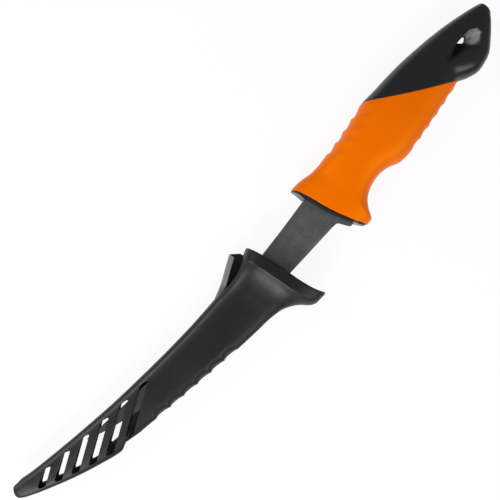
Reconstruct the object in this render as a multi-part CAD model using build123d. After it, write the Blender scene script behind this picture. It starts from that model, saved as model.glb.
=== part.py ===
from build123d import *

import os
from math import copysign, cos, hypot, pi, radians, sin

# A fillet knife, half drawn from its moulded belt sheath, lying on its back.
# Millimetres. X runs from the sheath's tip to the butt of the handle, Y from the cutting edge to
# the spine, and Z up. The origin is in the middle of the collar's flat back, on the surface that
# the knife lies on, below the blade's middle line.

# Whole object
MID_HEIGHT = 12.2            # blade's middle plane above the surface that the knife lies on
FIT_GAP = 0.05               # between pieces that are pressed or glued together
OVERRUN = 5.0                # how far a cutting tool runs past the piece
SECTION_POINTS = 16          # points round each moulded section
CROSSING_STEPS = 48          # halvings that find where a line meets an outline

# Draw path: blade and sheath are curved alike, so the knife leaves along one large circle
SPINE_RADIUS = 800.0
SPINE_LOW_X = -27.5          # where the spine comes nearest to the edge side
SPINE_LOW_Y = 8.4
DRAWN_OUT = 43.5             # from the sheath's rim to the guard, as it lies

# Blade
BLADE_LENGTH = 178.0
BLADE_WIDTH = 22.5
BLADE_THICKNESS = 2.2
TIP_THICKNESS = 1.1
BEVEL_WIDTH = 2.2
EDGE_THICKNESS = 0.3
TANG_LENGTH = 72.0
TANG_WIDTH = 12.0
TANG_DROP = 3.2              # tang's upper side below the blade's spine
TANG_CORNER = 2.0
HEEL_BACK = 3.0              # from the blade's root to the slope that leads to its foot
HEEL_CORNER = 3.0
FOOT_BACK = 6.7              # foot's front behind the blade's root
FOOT_DROP = 7.4              # foot below the cutting edge
FOOT_CORNER = 1.2
BLADE_WIDTH_SHARES = [(0.0, 1.0), (0.205, 0.835), (0.441, 0.68), (0.683, 0.486),
                      (0.846, 0.33), (0.916, 0.205), (0.972, 0.088), (1.0, 0.012)]

# Handle
HANDLE_LENGTH = 158.6
HANDLE_DEPTH = 46.1          # from the spine side to the guard's nose
HANDLE_THICKNESS = 24.4
HANDLE_SQUARENESS = 2.5      # 2 is an ellipse, more is squarer
GUARD_LEAD = 7.6             # guard's spine end ahead of its middle
PLATE_THICKNESS = 1.3
LUG_REACH = 5.3              # lug's front, and the blade's root, ahead of the guard's middle
LUG_THICKNESS = 13.0
LUG_RISE = 5.6               # lug above the blade's spine
LUG_CORNER = 1.2
CORE_WIDTH = 18.0
CORE_THICKNESS = 12.0
CORE_LENGTH = 104.0
PIN_RADIUS = 2.0
LANYARD_CORNER = 1.6
LANYARD_WAIST_CORNER = 0.6
SCALLOP_PITCH = 8.2
SCALLOP_DEPTH = 0.7
SCALLOP_COUNT = 5
RIDGE_PITCH = 8.2
RIDGE_DEPTH = 0.8
RIDGE_COUNT = 4
# Along the handle, then its spine side, its edge side and its thickness
HANDLE_STATION_SHARES = [
    (-0.06, 0.446, -0.558, 0.710), (0.030, 0.446, -0.553, 0.735), (0.076, 0.428, -0.549, 0.762),
    (0.113, 0.396, -0.543, 0.787), (0.136, 0.390, -0.527, 0.803), (0.151, 0.388, -0.441, 0.816),
    (0.173, 0.391, -0.352, 0.836), (0.202, 0.399, -0.290, 0.861), (0.240, 0.410, -0.255, 0.893),
    (0.277, 0.421, -0.249, 0.926), (0.315, 0.439, -0.279, 0.959), (0.353, 0.456, -0.342, 0.984),
    (0.385, 0.470, -0.360, 0.996), (0.429, 0.486, -0.357, 1.000), (0.492, 0.475, -0.339, 0.992),
    (0.555, 0.469, -0.317, 0.967), (0.618, 0.456, -0.293, 0.934), (0.681, 0.433, -0.262, 0.893),
    (0.719, 0.415, -0.238, 0.861), (0.757, 0.396, -0.303, 0.828), (0.794, 0.373, -0.350, 0.787),
    (0.839, 0.342, -0.343, 0.738), (0.876, 0.312, -0.307, 0.689), (0.914, 0.277, -0.217, 0.631),
    (0.952, 0.240, -0.111, 0.557), (0.977, 0.211, -0.031, 0.471), (0.994, 0.180, 0.038, 0.328),
    (1.000, 0.150, 0.084, 0.143)]
GUARD_LINE_SHARES = [(-0.06, 0.56), (0.171, 0.321), (0.340, 0.030), (0.600, -0.280),
                     (0.947, -0.538), (1.07, -0.64)]
JUNCTION_SHARES = [(0.436, 0.462), (0.719, -0.232)]
JUNCTION_SAG = 1.5           # joint's middle nearer to the guard than a straight line
LANYARD_RIM_HEIGHT = 8.0     # hole's wide rims above and below the blade's middle plane
LANYARD_RIM_SHARES = [(0.721, 0.108), (0.874, 0.095), (0.898, 0.035), (0.903, -0.035),
                      (0.854, -0.165), (0.722, 0.030)]
LANYARD_WAIST_SHARES = [(0.826, 0.108), (0.868, 0.100), (0.869, 0.074), (0.860, -0.009),
                        (0.840, -0.011), (0.827, -0.004)]
SCALLOP_START_SHARE = 0.419
RIDGE_START_SHARE = 0.204
PIN_SHARES = [0.28, 0.78]    # along the tang

# Sheath
SHEATH_LENGTH = 194.3
SHEATH_TIP_X = -183.5
MOUTH_WIDTH = 50.0
MOUTH_THICKNESS = 25.0
SHEATH_SQUARENESS = 3.0
WALL = 1.8
SLOT_COUNT = 6               # the last one, nearest to the mouth, is in the front shell only
SLOT_WIDTH = 3.0
SLOT_FIRST_X = -165.4        # middle of the slot nearest to the tip
SLOT_FIRST_Y = 19.6
SLOT_PITCH = 11.8
SLOT_FALL = 2.8              # from each slot's middle to the next, towards the edge side
SLOT_ANGLE = 25.5
SLOT_SPINE_MARGIN = 3.6
SLOT_EDGE_MARGIN = 2.6
SLOT_BACK_MARGIN = 4.2       # in the back shell the slots are shorter on the edge side
SLOT_LAST_MARGIN = 6.6       # and the back shell's last slot is shorter still
SLOT_CORNER = 0.5
FLUTE_COUNT = 6
FLUTE_PITCH = 9.6
FLUTE_DEPTH = 1.2
FLUTE_LAST_X = -45.8
STEP_X = -123.5              # step in the sheath's edge side
STEP_DEPTH = 2.4
STEP_TIP_REACH = 5.5
STEP_MOUTH_REACH = 9.5
GUIDE_THICKNESS = 2.0        # ribs inside the sheath that hold the blade
GUIDE_GAP = 0.35
GUIDE_SHARES = [0.505, 0.660, 0.815]
# Along the sheath, then its spine side, its edge side and its thickness
SHEATH_STATION_SHARES = [
    (0.000, 0.506, 0.462, 0.13), (0.010, 0.555, 0.425, 0.20), (0.031, 0.577, 0.371, 0.26),
    (0.082, 0.536, 0.260, 0.30), (0.149, 0.487, 0.131, 0.32), (0.216, 0.442, 0.023, 0.345),
    (0.273, 0.408, -0.054, 0.36), (0.355, 0.362, -0.080, 0.385), (0.458, 0.320, -0.151, 0.40),
    (0.587, 0.279, -0.233, 0.42), (0.700, 0.259, -0.296, 0.44), (0.782, 0.254, -0.334, 0.46),
    (0.844, 0.250, -0.360, 0.54), (0.885, 0.282, -0.405, 0.73), (0.921, 0.336, -0.506, 0.96),
    (0.941, 0.361, -0.600, 1.02), (0.954, 0.372, -0.630, 1.02), (0.968, 0.383, -0.637, 1.01),
    (1.010, 0.404, -0.648, 0.96)]
RIM_SHARES = [(0.940, 0.46), (0.9515, 0.30), (0.961, 0.10), (0.968, -0.14), (0.975, -0.36),
              (0.984, -0.52), (1.003, -0.70)]

# Spine lip of the back shell
LIP_SHARES = [(0.772, 0.250), (0.818, 0.308), (0.860, 0.385), (0.900, 0.456), (0.922, 0.37)]
LIP_WALL = 1.9
LIP_RISE = 3.0               # above the parting plane
LIP_FLOOR = 2.0
LIP_DROP = 7.0               # lip's floor below the parting plane

# Belt loop and its screws
LOOP_START_X = -79.5
LOOP_LENGTH = 56.0
LOOP_WIDTH = 21.0
LOOP_Y = 1.5
LOOP_THICKNESS = 2.2
FOOT_LENGTH = 10.0
FOOT_HEIGHT = 4.5
LOOP_CORNER = 2.5
SCREW_SPACING = 12.0
SCREW_HEAD_RADIUS = 2.6
SCREW_HEAD_HEIGHT = 1.4
SCREW_RECESS = 0.3           # heads below the loop's outer face
SCREW_RADIUS = 1.3
SCREW_LENGTH = 6.2
SOCKET_RADIUS = 1.0
SOCKET_DEPTH = 0.9

# Worked out
SPINE_CENTRE = (SPINE_LOW_X, SPINE_LOW_Y + SPINE_RADIUS)
RIM_MIDDLE_X = SHEATH_TIP_X + SHEATH_LENGTH * RIM_SHARES[2][0]
GUARD_X = RIM_MIDDLE_X + DRAWN_OUT
BLADE_ROOT_X = GUARD_X - LUG_REACH
HANDLE_START_X = GUARD_X - GUARD_LEAD - PLATE_THICKNESS
CUT_HEIGHT = HANDLE_THICKNESS + OVERRUN
SCREW_SEAT = SCREW_RECESS + SCREW_HEAD_HEIGHT
SCREW_TOP = SCREW_SEAT + SCREW_LENGTH


def handle_point(share, depth_share):
    """A point on the handle, from a share along it and a share of its depth."""
    return (HANDLE_START_X + HANDLE_LENGTH * share, HANDLE_DEPTH * depth_share)


def sheath_point(share, width_share):
    """A point on the sheath, from a share along it and a share of the mouth's width."""
    return (SHEATH_TIP_X + SHEATH_LENGTH * share, MOUTH_WIDTH * width_share)


def spine_point(distance, depth):
    """A point a distance along the spine's circle from the blade's root, so deep below it."""
    start = (BLADE_ROOT_X - SPINE_LOW_X) / SPINE_RADIUS
    angle = start - distance / SPINE_RADIUS
    reach = SPINE_RADIUS + depth
    return (SPINE_CENTRE[0] + reach * sin(angle), SPINE_CENTRE[1] - reach * cos(angle))


def oval(x, top, bottom, thickness, squareness):
    """A closed moulded section across the length, as a smooth squared ellipse."""
    points = []
    for step in range(SECTION_POINTS):
        angle = 2 * pi * step / SECTION_POINTS
        across = copysign(abs(cos(angle)) ** (2 / squareness), cos(angle))
        upward = copysign(abs(sin(angle)) ** (2 / squareness), sin(angle))
        y = (top + bottom) / 2 + (top - bottom) / 2 * across
        points.append((x, y, MID_HEIGHT + thickness / 2 * upward))
    return Face(Wire([Spline(*points, periodic=True)]))


def upright(face, low=None, high=None):
    """The face in the XY plane raised to a block between two heights."""
    low = MID_HEIGHT - CUT_HEIGHT if low is None else low
    high = MID_HEIGHT + CUT_HEIGHT if high is None else high
    return Pos(0, 0, low) * extrude(face, amount=high - low)


def outline_between(stations, share, side):
    """The outline's share at a place between two stations, on its spine or edge side."""
    for near, far in zip(stations, stations[1:]):
        if near[0] <= share <= far[0]:
            part = (share - near[0]) / (far[0] - near[0])
            return near[side] + (far[side] - near[side]) * part
    return stations[-1][side]


def sheath_side(x, side):
    """The sheath's spine side (1) or edge side (2) at x."""
    share = (x - SHEATH_TIP_X) / SHEATH_LENGTH
    return MOUTH_WIDTH * outline_between(SHEATH_STATION_SHARES, share, side)


def handle_side(x, side):
    """The handle's spine side (1) or edge side (2) at x."""
    share = (x - HANDLE_START_X) / HANDLE_LENGTH
    return HANDLE_DEPTH * outline_between(HANDLE_STATION_SHARES, share, side)


def row_of_scoops(first, pitch, count, depth, side_at, outward):
    """Round-bottomed cuts side by side along an outline, each between two crests."""
    radius = (pitch / 2) ** 2 / (2 * depth) + depth / 2
    scoops = []
    for index in range(count):
        left = first + pitch * index
        right = left + pitch
        middle = ((left + right) / 2, (side_at(left) + side_at(right)) / 2)
        run = hypot(right - left, side_at(right) - side_at(left))
        slope = (side_at(right) - side_at(left)) / run
        lean = (right - left) / run
        off = outward * (radius - depth)
        centre = (middle[0] - off * slope, middle[1] + off * lean)
        scoops.append(upright(Pos(*centre) * Circle(radius)))
    return scoops


# Knife

def handle_body():
    """The whole handle's outer form, guard to butt."""
    sections = []
    for share, top, bottom, thick in HANDLE_STATION_SHARES:
        x, high = handle_point(share, top)
        low = handle_point(share, bottom)[1]
        sections.append(oval(x, high, low, HANDLE_THICKNESS * thick, HANDLE_SQUARENESS))
    return loft(sections)


def guard_line(shift):
    """The guard's slanted front line, moved along X."""
    points = []
    for along, depth in GUARD_LINE_SHARES:
        x = GUARD_X - GUARD_LEAD + 2 * GUARD_LEAD * along
        points.append((x + shift, HANDLE_DEPTH * depth))
    return Spline(*points)


def behind_guard(shift):
    """Everything on the butt's side of the guard's line."""
    line = guard_line(shift)
    top, low = line @ 0, line @ 1
    high_y = top.Y + HANDLE_DEPTH
    low_y = low.Y - HANDLE_DEPTH
    far_x = HANDLE_START_X + 2 * HANDLE_LENGTH
    corners = [low, (low.X, low_y), (far_x, low_y), (far_x, high_y), (top.X, high_y), top]
    return upright(make_face(Wire([line, *Polyline(*corners).edges()])))


def behind_junction():
    """Everything on the butt's side of the slanted joint between grip and butt."""
    start = Vector(*handle_point(*JUNCTION_SHARES[0]))
    end = Vector(*handle_point(*JUNCTION_SHARES[1]))
    along = (end - start).normalized()
    towards_guard = Vector(along.Y, -along.X)
    middle = (start + end) / 2 + towards_guard * JUNCTION_SAG
    line = ThreePointArc(start, middle, end)
    high = start - line % 0 * HANDLE_LENGTH
    low = end - Vector(0, HANDLE_DEPTH)
    far_x = HANDLE_START_X + 3 * HANDLE_LENGTH
    rest = Polyline(end, low, (far_x, low.Y), (far_x, high.Y), high, start)
    return upright(make_face(Wire([line, *rest.edges()])))


def tang_top():
    """The tang's upper side, which runs level through the handle."""
    return spine_point(0, 0)[1] - TANG_DROP


def tang_outline(gap):
    """The tang, grown by a gap, from inside the guard to its end."""
    length = TANG_LENGTH + 2 * gap
    x = BLADE_ROOT_X + TANG_LENGTH / 2
    y = tang_top() - TANG_WIDTH / 2
    return Pos(x, y) * RectangleRounded(length, TANG_WIDTH + 2 * gap, TANG_CORNER)


def pin_places():
    """The middles of the two pins through tang and core."""
    y = tang_top() - TANG_WIDTH / 2
    return [(BLADE_ROOT_X + TANG_LENGTH * share, y) for share in PIN_SHARES]


def blade_outline(narrower=0):
    """The blade's flat outline, narrower by a width at the cutting edge."""
    edge_points = []
    for along, width in BLADE_WIDTH_SHARES:
        depth = (BLADE_WIDTH - narrower) * width
        edge_points.append(spine_point(BLADE_LENGTH * along, depth))
    edge_line = Spline(*edge_points)
    root = spine_point(0, 0)
    tip = spine_point(BLADE_LENGTH, 0)
    spine_line = ThreePointArc(tip, spine_point(BLADE_LENGTH / 2, 0), root)
    tip_flat = Line(edge_points[-1], tip)
    back = Line(root, edge_points[0])
    return make_face(Wire([edge_line, tip_flat, spine_line, back]))


def heel_outline():
    """The blade's unground heel, which widens to a foot below the cutting edge."""
    spine_y = spine_point(0, 0)[1]
    edge_y = spine_point(0, BLADE_WIDTH)[1]
    foot_y = edge_y - FOOT_DROP
    behind = BLADE_ROOT_X + 2 * GUARD_LEAD
    slope = (BLADE_ROOT_X + HEEL_BACK, edge_y)
    foot = (BLADE_ROOT_X + FOOT_BACK, foot_y)
    face = make_face(Polyline((BLADE_ROOT_X, edge_y), (BLADE_ROOT_X, spine_y), (behind, spine_y),
                              (behind, foot_y), foot, slope, close=True))
    face = fillet(face.vertices().sort_by_distance(slope)[0], HEEL_CORNER)
    return fillet(face.vertices().sort_by_distance(foot)[0], FOOT_CORNER)


def blade():
    """Steel blade, thinner towards its tip, with ground bevels, a heel and a hidden tang."""
    half = BLADE_THICKNESS / 2
    land = EDGE_THICKNESS / 2
    full = blade_outline()
    body = upright(full, MID_HEIGHT - land, MID_HEIGHT + land)
    for side in (1, -1):
        wide = Pos(0, 0, MID_HEIGHT + side * land) * full
        narrow = Pos(0, 0, MID_HEIGHT + side * half) * blade_outline(BEVEL_WIDTH)
        body += loft([wide, narrow], ruled=True)
    body += upright(heel_outline(), MID_HEIGHT - half, MID_HEIGHT + half) - behind_guard(0)
    body += upright(tang_outline(0), MID_HEIGHT - half, MID_HEIGHT + half)
    body &= distal_taper()
    for x, y in pin_places():
        body -= upright(Pos(x, y) * Circle(PIN_RADIUS + FIT_GAP))
    return body


def distal_taper():
    """A long wedge that thins the blade evenly from its root to its tip."""
    tip_x = spine_point(BLADE_LENGTH, 0)[0] - OVERRUN
    end_x = BLADE_ROOT_X + TANG_LENGTH + OVERRUN
    root = BLADE_THICKNESS / 2
    tip = TIP_THICKNESS / 2
    side = Polyline((tip_x, MID_HEIGHT - tip), (BLADE_ROOT_X, MID_HEIGHT - root),
                    (end_x, MID_HEIGHT - root), (end_x, MID_HEIGHT + root),
                    (BLADE_ROOT_X, MID_HEIGHT + root), (tip_x, MID_HEIGHT + tip), close=True)
    return extrude(Plane.XZ * make_face(side), amount=BLADE_LENGTH, both=True)


def guard_plate(body, behind_plate):
    """Black front plate, slotted for the tang, with a lug that enters the sheath's mouth."""
    plate = (body & behind_guard(0)) - behind_plate
    low = MID_HEIGHT - LUG_THICKNESS / 2
    spine_y = spine_point(0, 0)[1]
    outline = Pos(BLADE_ROOT_X + GUARD_LEAD, spine_y + LUG_RISE / 2) * Rectangle(
        2 * GUARD_LEAD, LUG_RISE)
    front_corner = outline.vertices().sort_by_distance((BLADE_ROOT_X, spine_y + LUG_RISE))[0]
    lug = upright(fillet(front_corner, LUG_CORNER), low, low + LUG_THICKNESS) - behind_plate
    half = BLADE_THICKNESS / 2 + FIT_GAP
    return plate + lug - upright(tang_outline(FIT_GAP), MID_HEIGHT - half, MID_HEIGHT + half)


def core_bar():
    """The bar inside the grip that clamps the tang."""
    y = tang_top() - TANG_WIDTH / 2
    low = MID_HEIGHT - CORE_THICKNESS / 2
    x = GUARD_X - GUARD_LEAD + CORE_LENGTH / 2
    return upright(Pos(x, y) * Rectangle(CORE_LENGTH, CORE_WIDTH), low, low + CORE_THICKNESS)


def lanyard_hole():
    """The lanyard hole, wide at both faces and narrower in the middle."""
    rim = rounded_face([handle_point(*pair) for pair in LANYARD_RIM_SHARES], LANYARD_CORNER)
    waist = rounded_face([handle_point(*pair) for pair in LANYARD_WAIST_SHARES],
                         LANYARD_WAIST_CORNER)
    cuts = []
    for side in (1, -1):
        near = Pos(0, 0, MID_HEIGHT) * waist
        far = Pos(0, 0, MID_HEIGHT + side * LANYARD_RIM_HEIGHT) * rim
        cuts.append(loft([near, far], ruled=True))
        reach = MID_HEIGHT + side * (LANYARD_RIM_HEIGHT + OVERRUN)
        cuts.append(upright(rim, min(far.center().Z, reach), max(far.center().Z, reach)))
    return cuts


def rounded_face(corners, radius):
    """A face through the corners, each rounded."""
    face = make_face(Polyline(*corners, close=True))
    return fillet(face.vertices(), radius)


def handle_core(body, behind_plate, joint_block):
    """Both halves of the black core: the bar round the tang and the butt behind the grip."""
    core = (body & joint_block) + (core_bar() & behind_plate)
    half = BLADE_THICKNESS / 2
    core -= upright(tang_outline(FIT_GAP), MID_HEIGHT - half, MID_HEIGHT + half)
    for cut in lanyard_hole():
        core -= cut
    for x, y in pin_places():
        core -= upright(Pos(x, y) * Circle(PIN_RADIUS + FIT_GAP))
    return halves(core)


def halves(solid):
    """The piece's two halves, above and below the blade's middle plane."""
    front = split(solid, bisect_by=Plane.XY.offset(MID_HEIGHT), keep=Keep.TOP)
    back = split(solid, bisect_by=Plane.XY.offset(MID_HEIGHT), keep=Keep.BOTTOM)
    return front, back


def tang_pins():
    """Two pins that lock the tang between the core's halves."""
    low = MID_HEIGHT - CORE_THICKNESS / 2
    pins = [upright(Pos(x, y) * Circle(PIN_RADIUS), low, low + CORE_THICKNESS)
            for x, y in pin_places()]
    return Compound(children=pins)


def grip_sleeve(body, behind_plate, joint_block):
    """Soft grip moulded round the core, with thumb ridges and finger scallops."""
    grip = (body & behind_plate) - joint_block - core_bar()
    first = HANDLE_START_X + HANDLE_LENGTH * SCALLOP_START_SHARE
    for scoop in row_of_scoops(first, SCALLOP_PITCH, SCALLOP_COUNT, SCALLOP_DEPTH,
                               lambda x: handle_side(x, 2), -1):
        grip -= scoop
    first = HANDLE_START_X + HANDLE_LENGTH * RIDGE_START_SHARE
    for scoop in row_of_scoops(first, RIDGE_PITCH, RIDGE_COUNT, RIDGE_DEPTH,
                               lambda x: handle_side(x, 1), 1):
        grip -= scoop
    return grip


# Sheath

def sheath_loft(inset):
    """The sheath's outer form, or its hollow where the walls are inset."""
    sections = []
    for share, top, bottom, thick in SHEATH_STATION_SHARES[2 if inset else 0:]:
        x, high = sheath_point(share, top)
        low = sheath_point(share, bottom)[1]
        thickness = MOUTH_THICKNESS * thick - 2 * inset
        sections.append(oval(x, high - inset, low + inset, thickness, SHEATH_SQUARENESS))
    return loft(sections)


def before_rim():
    """Everything on the tip's side of the sheath's slanted rim."""
    points = [sheath_point(*pair) for pair in RIM_SHARES]
    line = Spline(*points)
    far_x = SHEATH_TIP_X - SHEATH_LENGTH
    high_y = points[0][1] + MOUTH_WIDTH
    low_y = points[-1][1] - MOUTH_WIDTH
    corners = [points[-1], (points[-1][0], low_y), (far_x, low_y), (far_x, high_y),
               (points[0][0], high_y), points[0]]
    return upright(make_face(Wire([line, *Polyline(*corners).edges()])), 0)


def drain_slot(index, edge_margin):
    """A slanted drain slot, from the spine side's margin to the edge side's."""
    along = Vector(cos(radians(SLOT_ANGLE)), sin(radians(SLOT_ANGLE)))
    across = Vector(-along.Y, along.X) * (SLOT_WIDTH / 2)
    middle = Vector(SLOT_FIRST_X + SLOT_PITCH * index, SLOT_FIRST_Y - SLOT_FALL * index)
    corners = [margin_crossing(middle + across * side, along * way, edge_margin)
               for side, way in ((1, 1), (1, -1), (-1, -1), (-1, 1))]
    return upright(rounded_face(corners, SLOT_CORNER))


def front_slots():
    """The front shell's drain slots."""
    return [drain_slot(index, SLOT_EDGE_MARGIN) for index in range(SLOT_COUNT)]


def back_slots():
    """The back shell's drain slots, one fewer and shorter than the front shell's."""
    last = SLOT_COUNT - 2
    slots = [drain_slot(index, SLOT_BACK_MARGIN) for index in range(last)]
    return slots + [drain_slot(last, SLOT_LAST_MARGIN)]


def margin_crossing(start, direction, edge_margin):
    """Where a line from inside the sheath's outline comes within a margin of its sides."""
    near, far = 0.0, SHEATH_LENGTH
    for _ in range(CROSSING_STEPS):
        middle = (near + far) / 2
        point = start + direction * middle
        high = sheath_side(point.X, 1) - SLOT_SPINE_MARGIN
        low = sheath_side(point.X, 2) + edge_margin
        near, far = (middle, far) if low < point.Y < high else (near, middle)
    return start + direction * near


def step_cut():
    """The small step in the sheath's edge side, where the grooved stretch begins."""
    left = STEP_X - STEP_TIP_REACH
    right = STEP_X + STEP_MOUTH_REACH
    low = sheath_side(right, 2) - MOUTH_WIDTH
    points = [(left, sheath_side(left, 2)), (STEP_X, sheath_side(STEP_X, 2) + STEP_DEPTH),
              (right, sheath_side(right, 2)), (right, low), (left, low)]
    return upright(make_face(Polyline(*points, close=True)))


def guide_ribs(hollow):
    """Ribs across the hollow that hold the blade's two faces."""
    ribs = []
    half = BLADE_THICKNESS / 2 + GUIDE_GAP
    for share in GUIDE_SHARES:
        x = SHEATH_TIP_X + SHEATH_LENGTH * share
        rib = upright(Pos(x, 0) * Rectangle(GUIDE_THICKNESS, 2 * MOUTH_WIDTH))
        ribs.append((hollow & rib) - upright(Rectangle(2 * SHEATH_LENGTH, 2 * MOUTH_WIDTH),
                                             MID_HEIGHT - half, MID_HEIGHT + half))
    return ribs


def sheath_shell():
    """The sheath as one moulded form, before it is parted into its two shells."""
    outer = sheath_loft(0)
    hollow = sheath_loft(WALL)
    for rib in guide_ribs(hollow):
        hollow -= rib
    shell = (outer & before_rim()) - hollow
    shell -= step_cut()
    for scoop in row_of_scoops(FLUTE_LAST_X - FLUTE_PITCH * FLUTE_COUNT, FLUTE_PITCH,
                               FLUTE_COUNT, FLUTE_DEPTH, lambda x: sheath_side(x, 2), -1):
        shell -= scoop
    return shell, outer


def spine_lip(outer):
    """The back shell's flared lip beside the mouth, a low wall standing on a floor."""
    points = [sheath_point(*pair) for pair in LIP_SHARES]
    line = Spline(*points[:-1])
    inner = [points[-1], (points[-1][0], points[-1][1] - 2 * LIP_WALL),
             (points[0][0] + MOUTH_WIDTH / 2, points[0][1] - 2 * LIP_WALL), points[0]]
    plan = make_face(Wire([line, *Polyline(points[-2], *inner).edges()]))
    low = MID_HEIGHT - LIP_DROP
    wall = upright(plan - Pos(0, -LIP_WALL) * plan, low, MID_HEIGHT + LIP_RISE)
    floor = upright(plan, low, low + LIP_FLOOR)
    return wall + floor - outer


def screw_places():
    """The middles of the belt loop's four screws."""
    places = []
    for end in (0, 1):
        x = LOOP_START_X + FOOT_LENGTH / 2 + end * (LOOP_LENGTH - FOOT_LENGTH)
        for side in (-1, 1):
            places.append((x, LOOP_Y + side * SCREW_SPACING / 2))
    return places


def foot_places():
    """The middles of the belt loop's two feet."""
    first = LOOP_START_X + FOOT_LENGTH / 2
    return [(first, LOOP_Y), (first + LOOP_LENGTH - FOOT_LENGTH, LOOP_Y)]


def sheath_shells():
    """Front and back shells, the back one with its lip and the pads of the belt loop."""
    shell, outer = sheath_shell()
    front, back = halves(shell)
    for slot in front_slots():
        front -= slot
    for slot in back_slots():
        back -= slot
    back += spine_lip(outer)
    for x, y in foot_places():
        plan = Pos(x, y) * RectangleRounded(FOOT_LENGTH, LOOP_WIDTH, LOOP_CORNER)
        pad = upright(plan, FOOT_HEIGHT, MID_HEIGHT) - sheath_loft(WALL)
        back += pad
    for x, y in screw_places():
        back -= upright(Pos(x, y) * Circle(SCREW_RADIUS + FIT_GAP), 0, SCREW_TOP + FIT_GAP)
    return front, back


def belt_loop():
    """Belt loop behind the sheath: an arm on two screwed feet."""
    x = LOOP_START_X + LOOP_LENGTH / 2
    plan = Pos(x, LOOP_Y) * RectangleRounded(LOOP_LENGTH, LOOP_WIDTH, LOOP_CORNER)
    loop = upright(plan, 0, FOOT_HEIGHT)
    gap = Pos(x, LOOP_Y) * Rectangle(LOOP_LENGTH - 2 * FOOT_LENGTH, 2 * LOOP_WIDTH)
    loop -= upright(gap, LOOP_THICKNESS, FOOT_HEIGHT + OVERRUN)
    for place in screw_places():
        loop -= upright(Pos(*place) * Circle(SCREW_RADIUS + FIT_GAP), 0, FOOT_HEIGHT)
        loop -= upright(Pos(*place) * Circle(SCREW_HEAD_RADIUS + FIT_GAP), 0, SCREW_SEAT)
    return loop


def loop_screws():
    """Four pan-head screws that hold the belt loop to the back shell."""
    screws = []
    for place in screw_places():
        head = upright(Pos(*place) * Circle(SCREW_HEAD_RADIUS), SCREW_RECESS, SCREW_SEAT)
        shank = upright(Pos(*place) * Circle(SCREW_RADIUS), SCREW_SEAT, SCREW_TOP)
        socket = upright(Pos(*place) * RegularPolygon(SOCKET_RADIUS, 6), 0,
                         SCREW_RECESS + SOCKET_DEPTH)
        screws.append(head + shank - socket)
    return Compound(children=screws)


def main():
    """Build every piece and write each to its own file."""
    body = handle_body()
    behind_plate = behind_guard(PLATE_THICKNESS)
    joint_block = behind_junction()
    core_front, core_back = handle_core(body, behind_plate, joint_block)
    shell_front, shell_back = sheath_shells()
    pieces = {
        "blade": blade(),
        "guard_plate": guard_plate(body, behind_plate),
        "handle_core_front": core_front,
        "handle_core_back": core_back,
        "tang_pins": tang_pins(),
        "grip_sleeve": grip_sleeve(body, behind_plate, joint_block),
        "sheath_front_shell": shell_front,
        "sheath_back_shell": shell_back,
        "belt_loop": belt_loop(),
        "loop_screws": loop_screws(),
    }
    os.makedirs("parts", exist_ok=True)
    for name, piece in pieces.items():
        export_step(piece, f"parts/{name}.step")


main()
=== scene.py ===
import math

import bpy
import numpy as np
from mathutils import Matrix, Vector


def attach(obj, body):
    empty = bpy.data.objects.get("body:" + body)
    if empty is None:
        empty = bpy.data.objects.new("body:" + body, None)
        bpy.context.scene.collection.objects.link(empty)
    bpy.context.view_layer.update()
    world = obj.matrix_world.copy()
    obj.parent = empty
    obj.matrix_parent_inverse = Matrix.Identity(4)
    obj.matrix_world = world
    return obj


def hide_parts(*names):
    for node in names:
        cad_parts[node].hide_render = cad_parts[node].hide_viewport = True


# A fillet knife partly drawn from its moulded belt sheath. Sizes are in millimetres, in the CAD
# part's frame: X runs from the sheath's tip to the butt, Y from the cutting edge to the spine and
# Z up. A mesh is turned to metres when it is made.

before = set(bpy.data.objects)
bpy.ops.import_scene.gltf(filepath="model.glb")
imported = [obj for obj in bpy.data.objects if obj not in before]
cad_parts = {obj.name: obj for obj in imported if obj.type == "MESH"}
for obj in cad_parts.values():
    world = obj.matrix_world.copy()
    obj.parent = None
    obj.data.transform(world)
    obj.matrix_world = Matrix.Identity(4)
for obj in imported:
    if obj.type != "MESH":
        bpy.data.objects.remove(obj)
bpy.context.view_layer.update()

MM = 0.001
MID = 12.2                   # blade's middle plane above the floor
HAIR = 0.02                  # keeps apart two faces that would lie in one plane
THINNEST = 0.02              # what is left of a skin that an inset would turn inside out

# Skins: points round them, length of the fine steps at each rim, step between, rim's radius
GRIP_SKIN = (168, 0.6, 0.42, 0.45)
BUTT_SKIN = (90, 0.6, 0.5, 0.35)
SHELL_SKIN = (110, 0.9, 0.5, 1.0)
RIM_STEPS = (0, 0.06, 0.14, 0.25, 0.4, 0.6)      # closest together where the rim turns
FLAT_CAP = (0.96, 0.8, 0.4, 0.02)                # rings that close a cut end, as shares of it
ROUND_CAP = (0.7, 0.4, 0.05)                     # the same for a pointed end
CHORD_POINTS = 6                                 # across the flat face of a half
CORNER_STEPS = 6                                 # round each corner of an outline

# Handle. Its stations give, as shares of these sizes, the place along it, the spine side, the
# edge side and the thickness.
HANDLE_START = 37.82
HANDLE_LENGTH = 158.6
HANDLE_DEPTH = 46.1
HANDLE_THICKNESS = 24.4
HANDLE_SQUARENESS = 2.5
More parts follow.
